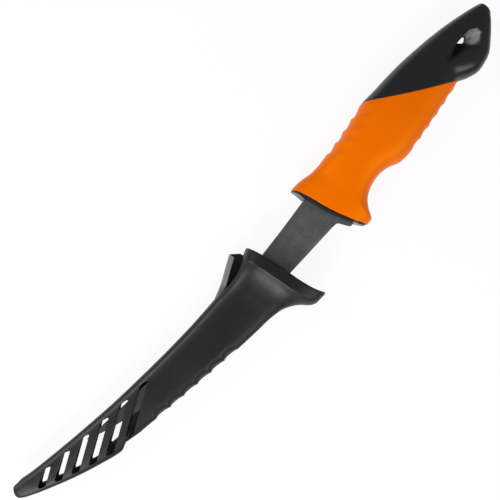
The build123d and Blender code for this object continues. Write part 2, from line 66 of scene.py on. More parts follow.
# Stations along the handle
HANDLE_ROWS = [
    (-0.06, 0.446, -0.558, 0.710), (0.030, 0.446, -0.553, 0.735), (0.076, 0.428, -0.549, 0.762),
    (0.113, 0.396, -0.543, 0.787), (0.136, 0.390, -0.527, 0.803), (0.151, 0.388, -0.441, 0.816),
    (0.173, 0.391, -0.352, 0.836), (0.202, 0.399, -0.290, 0.861), (0.240, 0.410, -0.255, 0.893),
    (0.277, 0.421, -0.249, 0.926), (0.315, 0.439, -0.279, 0.959), (0.353, 0.456, -0.342, 0.984),
    (0.385, 0.470, -0.360, 0.996), (0.429, 0.486, -0.357, 1.000), (0.492, 0.475, -0.339, 0.992),
    (0.555, 0.469, -0.317, 0.967), (0.618, 0.456, -0.293, 0.934), (0.681, 0.433, -0.262, 0.893),
    (0.719, 0.415, -0.238, 0.861), (0.757, 0.396, -0.303, 0.828), (0.794, 0.373, -0.350, 0.787),
    (0.839, 0.342, -0.343, 0.738), (0.876, 0.312, -0.307, 0.689), (0.914, 0.277, -0.217, 0.631),
    (0.952, 0.240, -0.111, 0.557), (0.977, 0.211, -0.031, 0.471), (0.994, 0.180, 0.038, 0.328),
    (1.000, 0.150, 0.084, 0.143)]
# Y and X of the line where the grip meets the guard plate
PLATE_BACK_ROWS = [(-29.5, 56.68), (-24.8, 54.81), (-12.9, 49.54), (1.38, 45.59), (14.8, 43.02),
                   (25.8, 39.51)]
JUNCTION_START = (106.97, 21.30)                 # joint between grip and butt
JUNCTION_END = (151.85, -10.70)
JUNCTION_SAG = 2.58
PLATE_GUESS, JUNCTION_GUESS = 47, 130            # where the search for the two lines begins
# Lanyard hole: three-cornered at both faces, with a narrower waist between them
HOLE_RIM = [(152.2, 5.0), (176.4, 4.4), (180.2, 1.6), (181.0, -1.6), (173.3, -7.6), (152.3, 1.4)]
HOLE_WAIST = [(168.8, 4.8), (175.4, 3.9), (174.5, 2.7), (173.1, 1.6), (170.4, 1.1),
              (167.9, 3.9)]
HOLE_WAIST_LOW, HOLE_WAIST_HIGH = -0.5, 2.5      # from the middle plane
HOLE_DEPTH = 8.0             # rims above and below the middle plane
HOLE_REACH = 14.0            # cutter above and below the middle plane
HOLE_CORNER = 1.6
WAIST_CORNER = 0.6
HOLE_HIGHLIGHT = (176.8, 0.2, 16.0)                   # middle of the pale patch painted on the lanyard hole's end wall as a highlight
HIGHLIGHT_INNER, HIGHLIGHT_OUTER = 4.5, 6.5                # patch fades out between these radii
HIGHLIGHT_TOP, HIGHLIGHT_FADE = 19.4, 0.5                  # and over this length above this height
# Rows of scoops on the grip: thumb ridges on the spine side, scallops under the fingers
THUMB_RIDGES = {"first": 70.2, "pitch": 8.2, "count": 4.0, "depth": 0.85, "slant": 0.7,
                "skew": 0.6, "reach": 9.0}
SCALLOPS = {"first": 104.3, "pitch": 8.2, "count": 5.0, "depth": 0.7, "slant": 0.0,
            "skew": 1.0, "reach": 3.0}

# Sheath. Its stations give the same as shares of its sizes.
SHEATH_TIP = -183.5
SHEATH_LENGTH = 194.3
MOUTH_WIDTH = 50.0
MOUTH_THICKNESS = 25.0
SHEATH_SQUARENESS = 3.0
WALL = 1.8
# Stations along the sheath
SHEATH_ROWS = [
    (0.000, 0.512, 0.462, 0.13), (0.010, 0.566, 0.425, 0.20), (0.031, 0.577, 0.371, 0.26),
    (0.082, 0.536, 0.260, 0.30), (0.149, 0.487, 0.131, 0.32), (0.216, 0.442, 0.023, 0.345),
    (0.273, 0.408, -0.054, 0.36), (0.355, 0.362, -0.080, 0.385), (0.458, 0.320, -0.151, 0.40),
    (0.587, 0.279, -0.233, 0.42), (0.700, 0.259, -0.296, 0.44), (0.782, 0.254, -0.334, 0.46),
    (0.844, 0.250, -0.360, 0.54), (0.885, 0.282, -0.405, 0.73), (0.921, 0.336, -0.506, 0.96),
    (0.941, 0.361, -0.600, 1.02), (0.954, 0.372, -0.630, 1.02), (0.968, 0.383, -0.637, 1.01),
    (1.010, 0.404, -0.648, 0.96)]
# Y and X of the slanted rim round the mouth
RIM_ROWS = [(-35.0, 11.38), (-26.0, 7.69), (-18.0, 5.94), (-7.0, 4.58), (5.0, 3.22),
            (15.0, 1.37), (23.0, -0.86)]
RIM_MIDDLE = 3.22
LEAN_START, LEAN_LENGTH = -32, 28                # collar takes up the rim's slant over this
COLLAR_START = -30                               # rim facet can thin the sheath from here
RIM_HALF = 11.6              # half the collar's thickness at its rim
FACET_SLOPE = 0.16           # how the collar thins from its ridge to the rim
SLOT_FIRST = (-165.4, 19.6)  # middle of the slot nearest to the tip
SLOT_STEP = (11.8, -2.8)     # from one slot to the next
SLOT_COUNT = 6               # the last one is in the front shell only
SLOT_WIDTH = 3.0
SLOT_DRAFT = 2.2             # front slots wider at the top by this, on their tip side
SLOT_ANGLE = 25.5
SLOT_CORNER = 0.5
SLOT_SEARCH = (40, 2000)     # length and steps of the search for a slot's ends
SLOT_OVERLAP = 0.3           # cutter goes on so far past the middle plane
SLOT_BOTTOM = -1             # and starts below the floor
SPINE_MARGIN = 3.6
EDGE_MARGIN = 2.6
BACK_MARGIN = 4.2            # back shell's slots are shorter on the edge side
LAST_MARGIN = 6.6            # and its last one most of all
# X and half the thickness where the collar flares
COLLAR_ROWS = [(-19.5, 6.75), (-14.5, 7.7), (-10.0, 9.1), (-7.0, 10.5), (-3.6, 12.7),
               (-1.0, 14.4)]
# X and depth of the notch in the edge side, beside the last slots
STEP_ROWS = [(-129.0, 0.0), (-123.5, 2.4), (-114.0, 0.0)]
FLUTES = {"first": -103.4, "pitch": 9.6, "count": 6.0, "depth": 1.3, "slant": 0.0,
          "skew": 0.75, "reach": 6.0}
HOLLOW_ROUND, HOLLOW_ALONG = 72, 160             # points round and along the hollow
HOLLOW_PAST_RIM = 4
# X and Y of the flared lip's outer side
LIP_ROWS = [(-33.5, 12.5), (-24.6, 15.4), (-16.4, 19.25), (-8.6, 22.8)]
LIP_END = (-4.4, 18.5)       # where the lip's floor meets the shell
LIP_POINTS = 60
LIP_ROOT = 3                 # lip begins so far inside the sheath's spine side
LIP_RAMP, LIP_LEAST = 10, 0.1                    # strip reaches its full size over this length
LIP_STRIP = 2.6              # sloped strip's width
LIP_CREST = 0.3              # flat top of the strip
LIP_BACK = 0.6               # inner foot of the strip, from where its slope ends
LIP_BED_BACK = 0.65          # and of the base under it
LIP_OVERLAP = 1              # corner block goes on so far into the base and the shell
LIP_CORNER_DEPTH = 5
LIP_BED = 5.0                # lip's floor below the middle plane
LIP_FOOT = 7.0               # lip's underside
LIP_SEAT = 3.0               # strip stands on the base so far below the middle plane
LIP_OUTER = 0.9              # strip's outer edge below the middle plane
LIP_INNER = 0.7              # strip's inner edge above it
GUIDES = [-85.4, -55.3, -25.1]
GUIDE_POINTS = 48
GUIDE_HALF = 1.0             # half a rib's thickness
GUIDE_GAP = 1.45             # from the middle plane to the rib
GUIDE_ROOT = 0.3             # rib stands so deep in the wall
PADS = [(-74.5, 1.5), (-28.5, 1.5)]
PAD_SIZE = (10.0, 21.0)
PAD_CORNER = 2.5
PAD_FOOT = 4.5               # pad's foot above the floor
PAD_TOP = 0.1                # its top below the middle plane, before the hollow is cut

# Belt loop's screws
SCREW_MIDDLE = (-51.5, 1.5, 0.3)
SCREW_ALONG = 46.0
SCREW_ACROSS = 12.0
SCREW_HEAD, SCREW_HEAD_FOOT, SCREW_HEAD_HEIGHT = 2.6, 2.1, 1.4
SCREW_SHANK, SCREW_LENGTH, SCREW_RISE = 1.3, 6.2, 4.5
SCREW_SOCKET, SCREW_SOCKET_DEPTH = 1.0, 1.8

# Camera, floor and light
CAMERA_SPOT = (-25.1, 45.4, 402.2)
CAMERA_TARGET = (0.5, 16.0, 12.2)
CAMERA_UP = (0.755, 0.656, 0)                    # the picture's upward way
CAMERA_LENS, CAMERA_SENSOR = 50.4, 36
CAMERA_CLIP = 0.01           # metres
FLOOR_HALF = 3000
FLOOR_SEEN = 0.9             # share of plain white in what the camera sees of the floor
FLOOR_MIRRORED = 0.3         # and in what glossy faces mirror of it
ROOM_LIGHT = 0.3
LIGHT_TARGET = (0, 5, 0)
# Each light's side, its rise in degrees, its distance, its size and its power in watts
LIGHTS = {
    "left_window": ((-0.656, 0.755), 34, 750, (460, 300), 1.6),
    "spine_window": ((-0.25, 0.97), 42, 750, (200, 160), 1.2),
    "top_panel": ((-0.3, 0.95), 60, 900, (700, 500), 0.3),
    "tip_window": ((-1.0, -0.3), 38, 750, (300, 260), 2.8),
    "right_fill": ((0.15, -1.0), 42, 800, (700, 350), 2.2),
}


def linear(code):
    """A colour written as sRGB hex, as the linear colour that a shader takes."""
    parts = [int(code[place:place + 2], 16) / 255 for place in (1, 3, 5)]
    return [p / 12.92 if p <= 0.04045 else ((p + 0.055) / 1.055) ** 2.4 for p in parts] + [1]


def add(tree, kind, inputs=None, **settings):
    """Adds a node with its settings, and sets its inputs or links them to other nodes."""
    made = tree.nodes.new(kind)
    for name, value in settings.items():
        setattr(made, name, value)
    for key, value in (inputs or {}).items():
        if isinstance(value, bpy.types.Node):
            value = next(output for output in value.outputs if output.enabled)
        if isinstance(value, bpy.types.NodeSocket):
            tree.links.new(value, made.inputs[key])
        else:
            made.inputs[key].default_value = value
    return made


# Materials

def new_material(name):
    """An empty material and its tree."""
    material = bpy.data.materials.new(name)
    material.use_nodes = True
    material.node_tree.nodes.clear()
    return material, material.node_tree


def noise(tree, place, cell, detail):
    """A noise pattern whose cells are so many millimetres wide."""
    made = add(tree, "ShaderNodeTexNoise",
               {"Vector": place, "Scale": 1 / (cell * MM), "Detail": detail})
    return made.outputs["Fac"]


def gloss(tree, pattern, smooth, dull):
    """Roughness from smooth to dull, over the middle of a noise pattern, where most of it is."""
    return add(tree, "ShaderNodeMapRange", {"Value": pattern, "From Min": 0.3, "From Max": 0.7,
                                            "To Min": smooth, "To Max": dull})


def fading(tree, value, start, end):
    """A mask that is 1 below a length in millimetres and 0 above another."""
    return add(tree, "ShaderNodeMapRange", {"Value": value, "From Min": start * MM,
                                            "From Max": end * MM, "To Min": 1.0,
                                            "To Max": 0.0})


def blend(tree, share, first, second):
    """A colour between two."""
    return add(tree, "ShaderNodeMix", {0: share, 6: first, 7: second},
               data_type="RGBA").outputs[2]


def relief(tree, pattern, strength, depth):
    """A pattern's fine relief, so many millimetres deep."""
    return add(tree, "ShaderNodeBump", {"Height": pattern, "Strength": strength,
                                        "Distance": depth * MM})


def with_shader(material, inputs):
    """Ends a material in one shader."""
    tree = material.node_tree
    shader = add(tree, "ShaderNodeBsdfPrincipled", inputs)
    add(tree, "ShaderNodeOutputMaterial", {"Surface": shader})
    return material


def polypropylene_black(name, smooth, dull, dark, pale):
    """Injection-moulded polypropylene: satin black where the tool was spark-eroded, whose fine
    grain scatters the highlight, and glossier on polished lands, with slow flow marks."""
    material, tree = new_material(name)
    place = add(tree, "ShaderNodeTexCoord").outputs["Object"]
    flow = noise(tree, place, 14, 3)
    # real spark grain is 0.1 mm, drawn at 0.5 mm so that it shows
    pits = noise(tree, place, 0.5, 2)
    return with_shader(material, {
        "Base Color": blend(tree, pits, linear(dark), linear(pale)),
        "Roughness": gloss(tree, flow, smooth, dull), "Normal": relief(tree, pits, 0.25, 0.02),
        "IOR": 1.49, "Specular IOR Level": 0.36})


def moulded_nylon_black():
    """Glass-filled nylon, moulded: deeper black than the sheath, smooth and a little glossier,
    with a painted highlight on the lanyard hole's end wall.
    """
    material, tree = new_material("moulded_nylon_black")
    place = add(tree, "ShaderNodeTexCoord").outputs["Object"]
    flow = noise(tree, place, 9, 4)
    specks = noise(tree, place, 0.7, 3)
    shade = blend(tree, specks, linear("#111112"), linear("#1A1A1B"))
    # the lanyard hole's end wall is painted pale grey: a painted highlight of the light from the
    # tip side
    off = add(tree, "ShaderNodeVectorMath", {0: place, 1: [v * MM for v in HOLE_HIGHLIGHT]},
              operation="DISTANCE")
    near = fading(tree, off.outputs["Value"], HIGHLIGHT_INNER, HIGHLIGHT_OUTER)
    height = add(tree, "ShaderNodeSeparateXYZ", {0: place}).outputs["Z"]
    below = fading(tree, height, HIGHLIGHT_TOP, HIGHLIGHT_TOP + HIGHLIGHT_FADE)
    painted_highlight = add(tree, "ShaderNodeMath", {0: near, 1: below}, operation="MULTIPLY")
    return with_shader(material, {
        "Base Color": blend(tree, painted_highlight, shade, linear("#767677")),
        "Roughness": gloss(tree, flow, 0.22, 0.28), "Normal": relief(tree, specks, 0.15, 0.02),
        "IOR": 1.53, "Specular IOR Level": 0.4})


def overmoulded_rubber_orange():
    """Thermoplastic rubber moulded round the core: saturated orange with a soft satin skin whose
    highlights stay amber, because the light also scatters inside it."""
    material, tree = new_material("overmoulded_rubber_orange")
    place = add(tree, "ShaderNodeTexCoord").outputs["Object"]
    cloud = noise(tree, place, 22, 3)
    # the skin's real grain is 0.15 mm, drawn at 0.6 mm so that it shows
    pores = noise(tree, place, 0.6, 3)
    return with_shader(material, {
        "Base Color": blend(tree, cloud, linear("#E46300"), linear("#EC6C00")),
        "Roughness": gloss(tree, pores, 0.36, 0.46), "Normal": relief(tree, pores, 0.2, 0.03),
        "IOR": 1.5, "Specular IOR Level": 0.85, "Specular Tint": linear("#FFB400"),
        "Sheen Weight": 0.04, "Sheen Tint": linear("#FFB000"), "Sheen Roughness": 0.5})


def coated_blade_steel():
    """Stainless steel with a baked non-stick coating: mid grey, matt, with fine pale and dark
    specks from the sprayed resin."""
    material, tree = new_material("coated_blade_steel")
    place = add(tree, "ShaderNodeTexCoord").outputs["Object"]
    fine = noise(tree, place, 0.8, 4)
    wide = noise(tree, place, 7, 3)
    both = add(tree, "ShaderNodeMath", {0: fine, 1: wide}, operation="ADD")
    spread = add(tree, "ShaderNodeMapRange", {"Value": both, "From Min": 0.75, "From Max": 1.25})
    return with_shader(material, {
        "Base Color": blend(tree, spread, linear("#3E3E3F"), linear("#505051")),
        "Roughness": gloss(tree, fine, 0.48, 0.6), "Normal": relief(tree, fine, 0.2, 0.02),
        "IOR": 1.45})


def turned_stainless_steel():
    """Turned stainless steel: bright metal with faint tool rings in its gloss."""
    material, tree = new_material("turned_stainless_steel")
    rings = noise(tree, add(tree, "ShaderNodeTexCoord").outputs["Object"], 0.3, 2)
    return with_shader(material, {"Base Color": linear("#C4C5C7"), "Metallic": 1.0,
                                  "Roughness": gloss(tree, rings, 0.25, 0.38)})


# Shapes

def between_rows(rows, at):
    """Values on a smooth curve through a table's rows, keyed by its first column."""
    rows = np.array(rows, float)
    at = np.clip(np.asarray(at, float), rows[0, 0], rows[-1, 0])
    keys, values = rows[:, 0], rows[:, 1:]
    slopes = np.gradient(values, keys, axis=0)
    near = np.clip(np.searchsorted(keys, at) - 1, 0, len(keys) - 2)
    step = (keys[near + 1] - keys[near])[..., None]
    part = (at - keys[near])[..., None] / step
    low, high = values[near], values[near + 1]
    lean, lean_next = slopes[near] * step, slopes[near + 1] * step
    return (low * (1 + 2 * part) * (1 - part) ** 2 + lean * part * (1 - part) ** 2
            + high * part ** 2 * (3 - 2 * part) + lean_next * part ** 2 * (part - 1))


def squared(angle, squareness):
    """A squared ellipse's unit place across and upward at an angle."""
    across = np.sign(np.cos(angle)) * np.abs(np.cos(angle)) ** (2 / squareness)
    upward = np.sign(np.sin(angle)) * np.abs(np.sin(angle)) ** (2 / squareness)
    return across, upward


def handle_surface(x, angle, inset=0.0):
    """Y and Z of the handle's skin at x, round its section from the spine side."""
    rows = between_rows(HANDLE_ROWS, (x - HANDLE_START) / HANDLE_LENGTH)
    top = rows[..., 0] * HANDLE_DEPTH - inset
    low = rows[..., 1] * HANDLE_DEPTH + inset
    half = np.maximum(rows[..., 2] * HANDLE_THICKNESS / 2 - inset, THINNEST)
    across, upward = squared(angle, HANDLE_SQUARENESS)
    return (top + low) / 2 + (top - low) / 2 * across, MID + half * upward


def rim_x(y):
    """The sheath's slanted rim at y."""
    return between_rows(RIM_ROWS, y)[..., 0]


def sheath_surface(x, angle, inset=0.0):
    """Y and Z of the sheath's skin at x, with the collar's ridge along its rim."""
    rows = between_rows(SHEATH_ROWS, (x - SHEATH_TIP) / SHEATH_LENGTH)
    top = rows[..., 0] * MOUTH_WIDTH - inset
    low = rows[..., 1] * MOUTH_WIDTH + inset
    across, upward = squared(angle, SHEATH_SQUARENESS)
    y = (top + low) / 2 + (top - low) / 2 * across
    near = np.clip((x - LEAN_START) / LEAN_LENGTH, 0, 1)
    lean = (rim_x(y) - RIM_MIDDLE) * near ** 2 * (3 - 2 * near)
    thick_rows = between_rows(SHEATH_ROWS, (x - lean - SHEATH_TIP) / SHEATH_LENGTH)
    flare = np.where(x - lean > COLLAR_ROWS[0][0], between_rows(COLLAR_ROWS, x - lean)[..., 0],
                     thick_rows[..., 2] * MOUTH_THICKNESS / 2)
    facet = RIM_HALF + FACET_SLOPE * np.maximum(rim_x(y) - x, 0)
    half = np.where(x > COLLAR_START, np.minimum(flare, facet), flare)
    return y, np.maximum(MID + np.maximum(half - inset, THINNEST) * upward, THINNEST)


def plate_back_x(y):
    """The grip's front line against the guard plate."""
    return between_rows(PLATE_BACK_ROWS, y)[..., 0]


def junction_x(y):
    """The slanted joint between grip and butt, bowed towards the guard."""
    (x0, y0), (x1, y1) = JUNCTION_START, JUNCTION_END
    part = (y - y0) / (y1 - y0)
    bow = JUNCTION_SAG * 4 * np.clip(part, 0, 1) * (1 - np.clip(part, 0, 1))
    return x0 + (x1 - x0) * np.minimum(part, 1) - bow


def meeting(surface, line, angles, start):
    """Where each line along the skin meets a slanted cut, closer with each of 60 steps."""
    x = np.full(angles.shape, float(start))
    for _ in range(60):
        x = 0.5 * x + 0.5 * line(surface(x, angles)[0])
    return x


def steps_along(length, fine, middle):
    """Shares along a length, close together at both ends for the rounded rims."""
    ends = np.array(RIM_STEPS) * fine
    inner = np.linspace(fine, length - fine, max(int((length - 2 * fine) / middle), 2))
    return np.concatenate([ends, inner, length - ends[::-1]]) / length


def rim_inset(distance, radius):
    """How far a rounded rim draws in, so near to its end."""
    reach = np.clip(radius - distance, 0, radius)
    return radius - np.sqrt(np.maximum(radius ** 2 - reach ** 2, 0))


def skin(surface, start, end, angles, fine, middle, radius):
    """Rings of points along a skin between two slanted cuts, its rims rounded."""
    shares = steps_along(float(np.mean(end - start)), fine, middle)[:, None]
    x = start + (end - start) * shares
    inset = rim_inset(x - start, radius) + rim_inset(end - x, radius)
    y, z = surface(x, np.broadcast_to(angles, x.shape), inset)
    return np.stack([x, y, z], axis=-1)


def cap_rings(ring, line, scales):
    """Smaller copies of an end ring that close it along its slanted cut."""
    middle = ring.mean(axis=0)
    rings = []
    for scale in scales:
        inner = middle + (ring - middle) * scale
        if line is not None:
            inner[:, 0] = line(inner[:, 1]) + (ring[:, 0] - line(ring[:, 1])) * scale
        rings.append(inner)
    return rings


def tube_mesh(name, rings, extra=None):
    """A closed mesh through rings of points, each ring closed and the ends filled."""
    rings = np.array(rings)
    rows, count = rings.shape[:2]
    index = np.arange(rows * count).reshape(rows, count)
    here, beyond = index[:-1], index[1:]
    quads = np.stack([here, np.roll(here, -1, axis=1), np.roll(beyond, -1, axis=1), beyond],
                     axis=-1).reshape(-1, 4)
    faces = quads.tolist() + [index[0][::-1].tolist(), index[-1].tolist()]
    return mesh_from(name, rings.reshape(-1, 3), faces, extra)


def mesh_from(name, points, faces, extra=None):
    """A mesh in metres from points in millimetres, its faces pointing outwards."""
    mesh = bpy.data.meshes.new(name)
    mesh.from_pydata((np.asarray(points) * MM).tolist(), [], faces)
    for key, values in (extra or {}).items():
        layer = mesh.attributes.new(key, "FLOAT", "POINT")
        layer.data.foreach_set("value", (np.asarray(values).ravel() * MM).astype(np.float32))
    mesh.validate()
    turn_outwards(mesh)
    return mesh


def turn_outwards(mesh):
    """Turns the mesh's faces outwards if the volume they close is negative."""
    mesh.calc_loop_triangles()
    points = np.zeros(len(mesh.vertices) * 3)
    mesh.vertices.foreach_get("co", points)
    points = points.reshape(-1, 3)
    corners = np.zeros(len(mesh.loop_triangles) * 3, int)
    mesh.loop_triangles.foreach_get("vertices", corners)
    a, b, c = points[corners.reshape(-1, 3)].transpose(1, 0, 2)
    if np.einsum("ij,ij->", a, np.cross(b, c)) < 0:
        mesh.flip_normals()


def rounded(corners, radius):
    """A closed outline with each corner rounded."""
    corners = np.array(corners, float)
    points = []
    for place, here in enumerate(corners):
        back = corners[place - 1] - here
        ahead = corners[(place + 1) % len(corners)] - here
        back, ahead = back / np.linalg.norm(back), ahead / np.linalg.norm(ahead)
        half = math.acos(float(np.clip(back @ ahead, -1, 1))) / 2
        middle = here + (back + ahead) / np.linalg.norm(back + ahead) * radius / math.sin(half)
        first = here + back * radius / math.tan(half) - middle
        last = here + ahead * radius / math.tan(half) - middle
        turn = math.atan2(first[0] * last[1] - first[1] * last[0], float(first @ last))
        for step in range(CORNER_STEPS + 1):
            angle = turn * step / CORNER_STEPS
            cos, sin = math.cos(angle), math.sin(angle)
            points.append(middle + [first[0] * cos - first[1] * sin,
                                    first[0] * sin + first[1] * cos])
    return np.array(points)


def prism(name, levels):
    """A closed upright block through outlines at rising heights."""
    rings = [np.column_stack([outline, np.full(len(outline), height)])
             for outline, height in levels]
    return tube_mesh(name, rings)


def put(name, mesh, finish, body, nodes, crease):
    """Shows a finished mesh as a piece on its body, smooth but for its real corners."""
    mesh.polygons.foreach_set("use_smooth", [True] * len(mesh.polygons))
    mesh.set_sharp_from_angle(angle=math.radians(crease))
    mesh.materials.clear()
    mesh.materials.append(finish)
    piece = bpy.data.objects.new(name, mesh)
    bpy.context.scene.collection.objects.link(piece)
    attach(piece, body)
    if nodes:
        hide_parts(*nodes)


# Geometry Nodes

def new_tree(name, inputs):
    """An empty tree with a geometry and named inputs, and the sockets that give them."""
    tree = bpy.data.node_groups.new(name, "GeometryNodeTree")
    tree.interface.new_socket("Geometry", in_out="INPUT", socket_type="NodeSocketGeometry")
    for label, kind in inputs.items():
        tree.interface.new_socket(label, in_out="INPUT", socket_type=kind)
    tree.interface.new_socket("Geometry", in_out="OUTPUT", socket_type="NodeSocketGeometry")
    return tree, add(tree, "NodeGroupInput").outputs


def close_tree(tree, geometry, finish):
    """Ends a tree in plain geometry with its material."""
    real = add(tree, "GeometryNodeRealizeInstances", {"Geometry": geometry})
    painted = add(tree, "GeometryNodeSetMaterial", {"Geometry": real, "Material": finish})
    add(tree, "NodeGroupOutput", {"Geometry": painted})
    return tree


def shaped(mesh, *steps):
    """The mesh after each tree has worked on it, as a plain mesh of its own."""
    carrier = bpy.data.objects.new(mesh.name + "_carrier", mesh)
    bpy.context.scene.collection.objects.link(carrier)
    for tree, values in steps:
        modifier = carrier.modifiers.new(tree.name, "NODES")
        modifier.node_group = tree
        for item in tree.interface.items_tree:
            if item.in_out == "INPUT" and item.name in values:
                modifier[item.identifier] = values[item.name]
    bpy.context.view_layer.update()
    evaluated = carrier.evaluated_get(bpy.context.evaluated_depsgraph_get())
    result = bpy.data.meshes.new_from_object(evaluated)
    bpy.data.objects.remove(carrier)
    return result


def scoop_values(side, finish, first, pitch, count, depth, slant, skew, reach):
    """What a row of scoops takes, from lengths in millimetres."""
    return {"First": first * MM, "Pitch": pitch * MM, "Count": count, "Depth": depth * MM,
            "Slant": slant, "Skew": skew, "Reach": reach * MM, "Side": side, "Finish": finish}


def row_of_scoops():
    """A row of scoops along one side of a piece, each between two crests. They fade out on the
    faces, may slant across them and may be steeper on one side."""
    tree, given = new_tree("row_of_scoops", {
        "First": "NodeSocketFloat", "Pitch": "NodeSocketFloat", "Count": "NodeSocketFloat",
        "Depth": "NodeSocketFloat", "Slant": "NodeSocketFloat", "Skew": "NodeSocketFloat",
        "Reach": "NodeSocketFloat", "Side": "NodeSocketString", "Finish": "NodeSocketMaterial"})
    inward = add(tree, "GeometryNodeInputNamedAttribute", {"Name": given["Side"]},
                 data_type="FLOAT").outputs["Attribute"]
    place = add(tree, "ShaderNodeSeparateXYZ", {"Vector": add(tree, "GeometryNodeInputPosition")})
    slanted = add(tree, "ShaderNodeMath", {0: inward, 1: given["Slant"]}, operation="MULTIPLY")
    along = add(tree, "ShaderNodeMath", {0: place.outputs["X"], 1: slanted},
                operation="SUBTRACT")
    from_first = add(tree, "ShaderNodeMath", {0: along, 1: given["First"]},
                     operation="SUBTRACT")
    phase = add(tree, "ShaderNodeMath", {0: from_first, 1: given["Pitch"]}, operation="DIVIDE")
    part = add(tree, "ShaderNodeMath", {0: phase}, operation="FRACT")
    skewed = add(tree, "ShaderNodeMath", {0: part, 1: given["Skew"]}, operation="POWER")
    rest = add(tree, "ShaderNodeMath", {0: 1.0, 1: skewed}, operation="SUBTRACT")
    bowl = add(tree, "ShaderNodeMath", {0: skewed, 1: rest}, operation="MULTIPLY")
    begun = add(tree, "ShaderNodeMath", {0: phase, 1: 0.0}, operation="GREATER_THAN")
    ended = add(tree, "ShaderNodeMath", {0: phase, 1: given["Count"]}, operation="LESS_THAN")
    inside = add(tree, "ShaderNodeMath", {0: begun, 1: ended}, operation="MULTIPLY")
    # the bowl p(1 - p) is a quarter deep, so the fade starts at 4
    fade = add(tree, "ShaderNodeMapRange", {"Value": inward, "From Min": 0.0,
                                            "From Max": given["Reach"], "To Min": 4.0,
                                            "To Max": 0.0}, interpolation_type="SMOOTHSTEP")
    deep = add(tree, "ShaderNodeMath", {0: bowl, 1: fade}, operation="MULTIPLY")
    kept = add(tree, "ShaderNodeMath", {0: deep, 1: inside}, operation="MULTIPLY")
    sunk = add(tree, "ShaderNodeMath", {0: kept, 1: given["Depth"]}, operation="MULTIPLY")
    under = add(tree, "ShaderNodeMath", {0: sunk, 1: -1.0}, operation="MULTIPLY")
    offset = add(tree, "ShaderNodeVectorMath", {0: add(tree, "GeometryNodeInputNormal"),
                                                "Scale": under}, operation="SCALE")
    moved = add(tree, "GeometryNodeSetPosition", {"Geometry": given["Geometry"],
                                                  "Offset": offset})
    return close_tree(tree, moved, given["Finish"])


def cut_by():
    """Cuts another closed object out of a piece, such as its hollow, slots or hole."""
    tree, given = new_tree("cut_by", {"Cutter": "NodeSocketObject",
                                      "Finish": "NodeSocketMaterial"})
    cutter = add(tree, "GeometryNodeObjectInfo", {"Object": given["Cutter"]})
    cut = add(tree, "GeometryNodeMeshBoolean", {"Mesh 1": given["Geometry"],
                                                "Mesh 2": cutter.outputs["Geometry"]},
              operation="DIFFERENCE", solver="MANIFOLD")
    return close_tree(tree, cut.outputs["Mesh"], given["Finish"])


def screw_pattern():
    """Four pan-head screws at the corners of a rectangle, heads down, each with a socket."""
    tree, given = new_tree("screw_pattern", {
        "Along": "NodeSocketFloat", "Across": "NodeSocketFloat", "Head": "NodeSocketFloat",
        "Shank": "NodeSocketFloat", "Socket": "NodeSocketFloat", "Middle": "NodeSocketVector",
        "Finish": "NodeSocketMaterial"})
    head = add(tree, "GeometryNodeMeshCone", {
        "Vertices": 40, "Radius Top": given["Head"], "Radius Bottom": SCREW_HEAD_FOOT * MM,
        "Depth": SCREW_HEAD_HEIGHT * MM})
    socket = add(tree, "GeometryNodeMeshCylinder", {"Vertices": 6, "Radius": given["Socket"],
                                                    "Depth": SCREW_SOCKET_DEPTH * MM})
    bored = add(tree, "GeometryNodeMeshBoolean", {"Mesh 1": head.outputs["Mesh"],
                                                  "Mesh 2": socket.outputs["Mesh"]},
                operation="DIFFERENCE", solver="MANIFOLD")
    shank = add(tree, "GeometryNodeMeshCylinder", {"Vertices": 32, "Radius": given["Shank"],
                                                   "Depth": SCREW_LENGTH * MM})
    raised = add(tree, "GeometryNodeTransform", {"Geometry": shank.outputs["Mesh"],
                                                 "Translation": (0, 0, SCREW_RISE * MM)})
    screw = add(tree, "GeometryNodeJoinGeometry")
    tree.links.new(bored.outputs["Mesh"], screw.inputs[0])
    tree.links.new(raised.outputs[0], screw.inputs[0])
    corners = add(tree, "GeometryNodeMeshGrid", {"Size X": given["Along"],
                                                 "Size Y": given["Across"],
                                                 "Vertices X": 2, "Vertices Y": 2})
    placed = add(tree, "GeometryNodeTransform", {"Geometry": corners.outputs["Mesh"],
                                                 "Translation": given["Middle"]})
    points = add(tree, "GeometryNodeInstanceOnPoints", {"Points": placed, "Instance": screw})
    return close_tree(tree, points, given["Finish"])


def as_cutter(mesh):
    """An unseen object that a tree can cut with."""
    cutter = bpy.data.objects.new(mesh.name, mesh)
    bpy.context.scene.collection.objects.link(cutter)
    return cutter


# Camera, floor and light

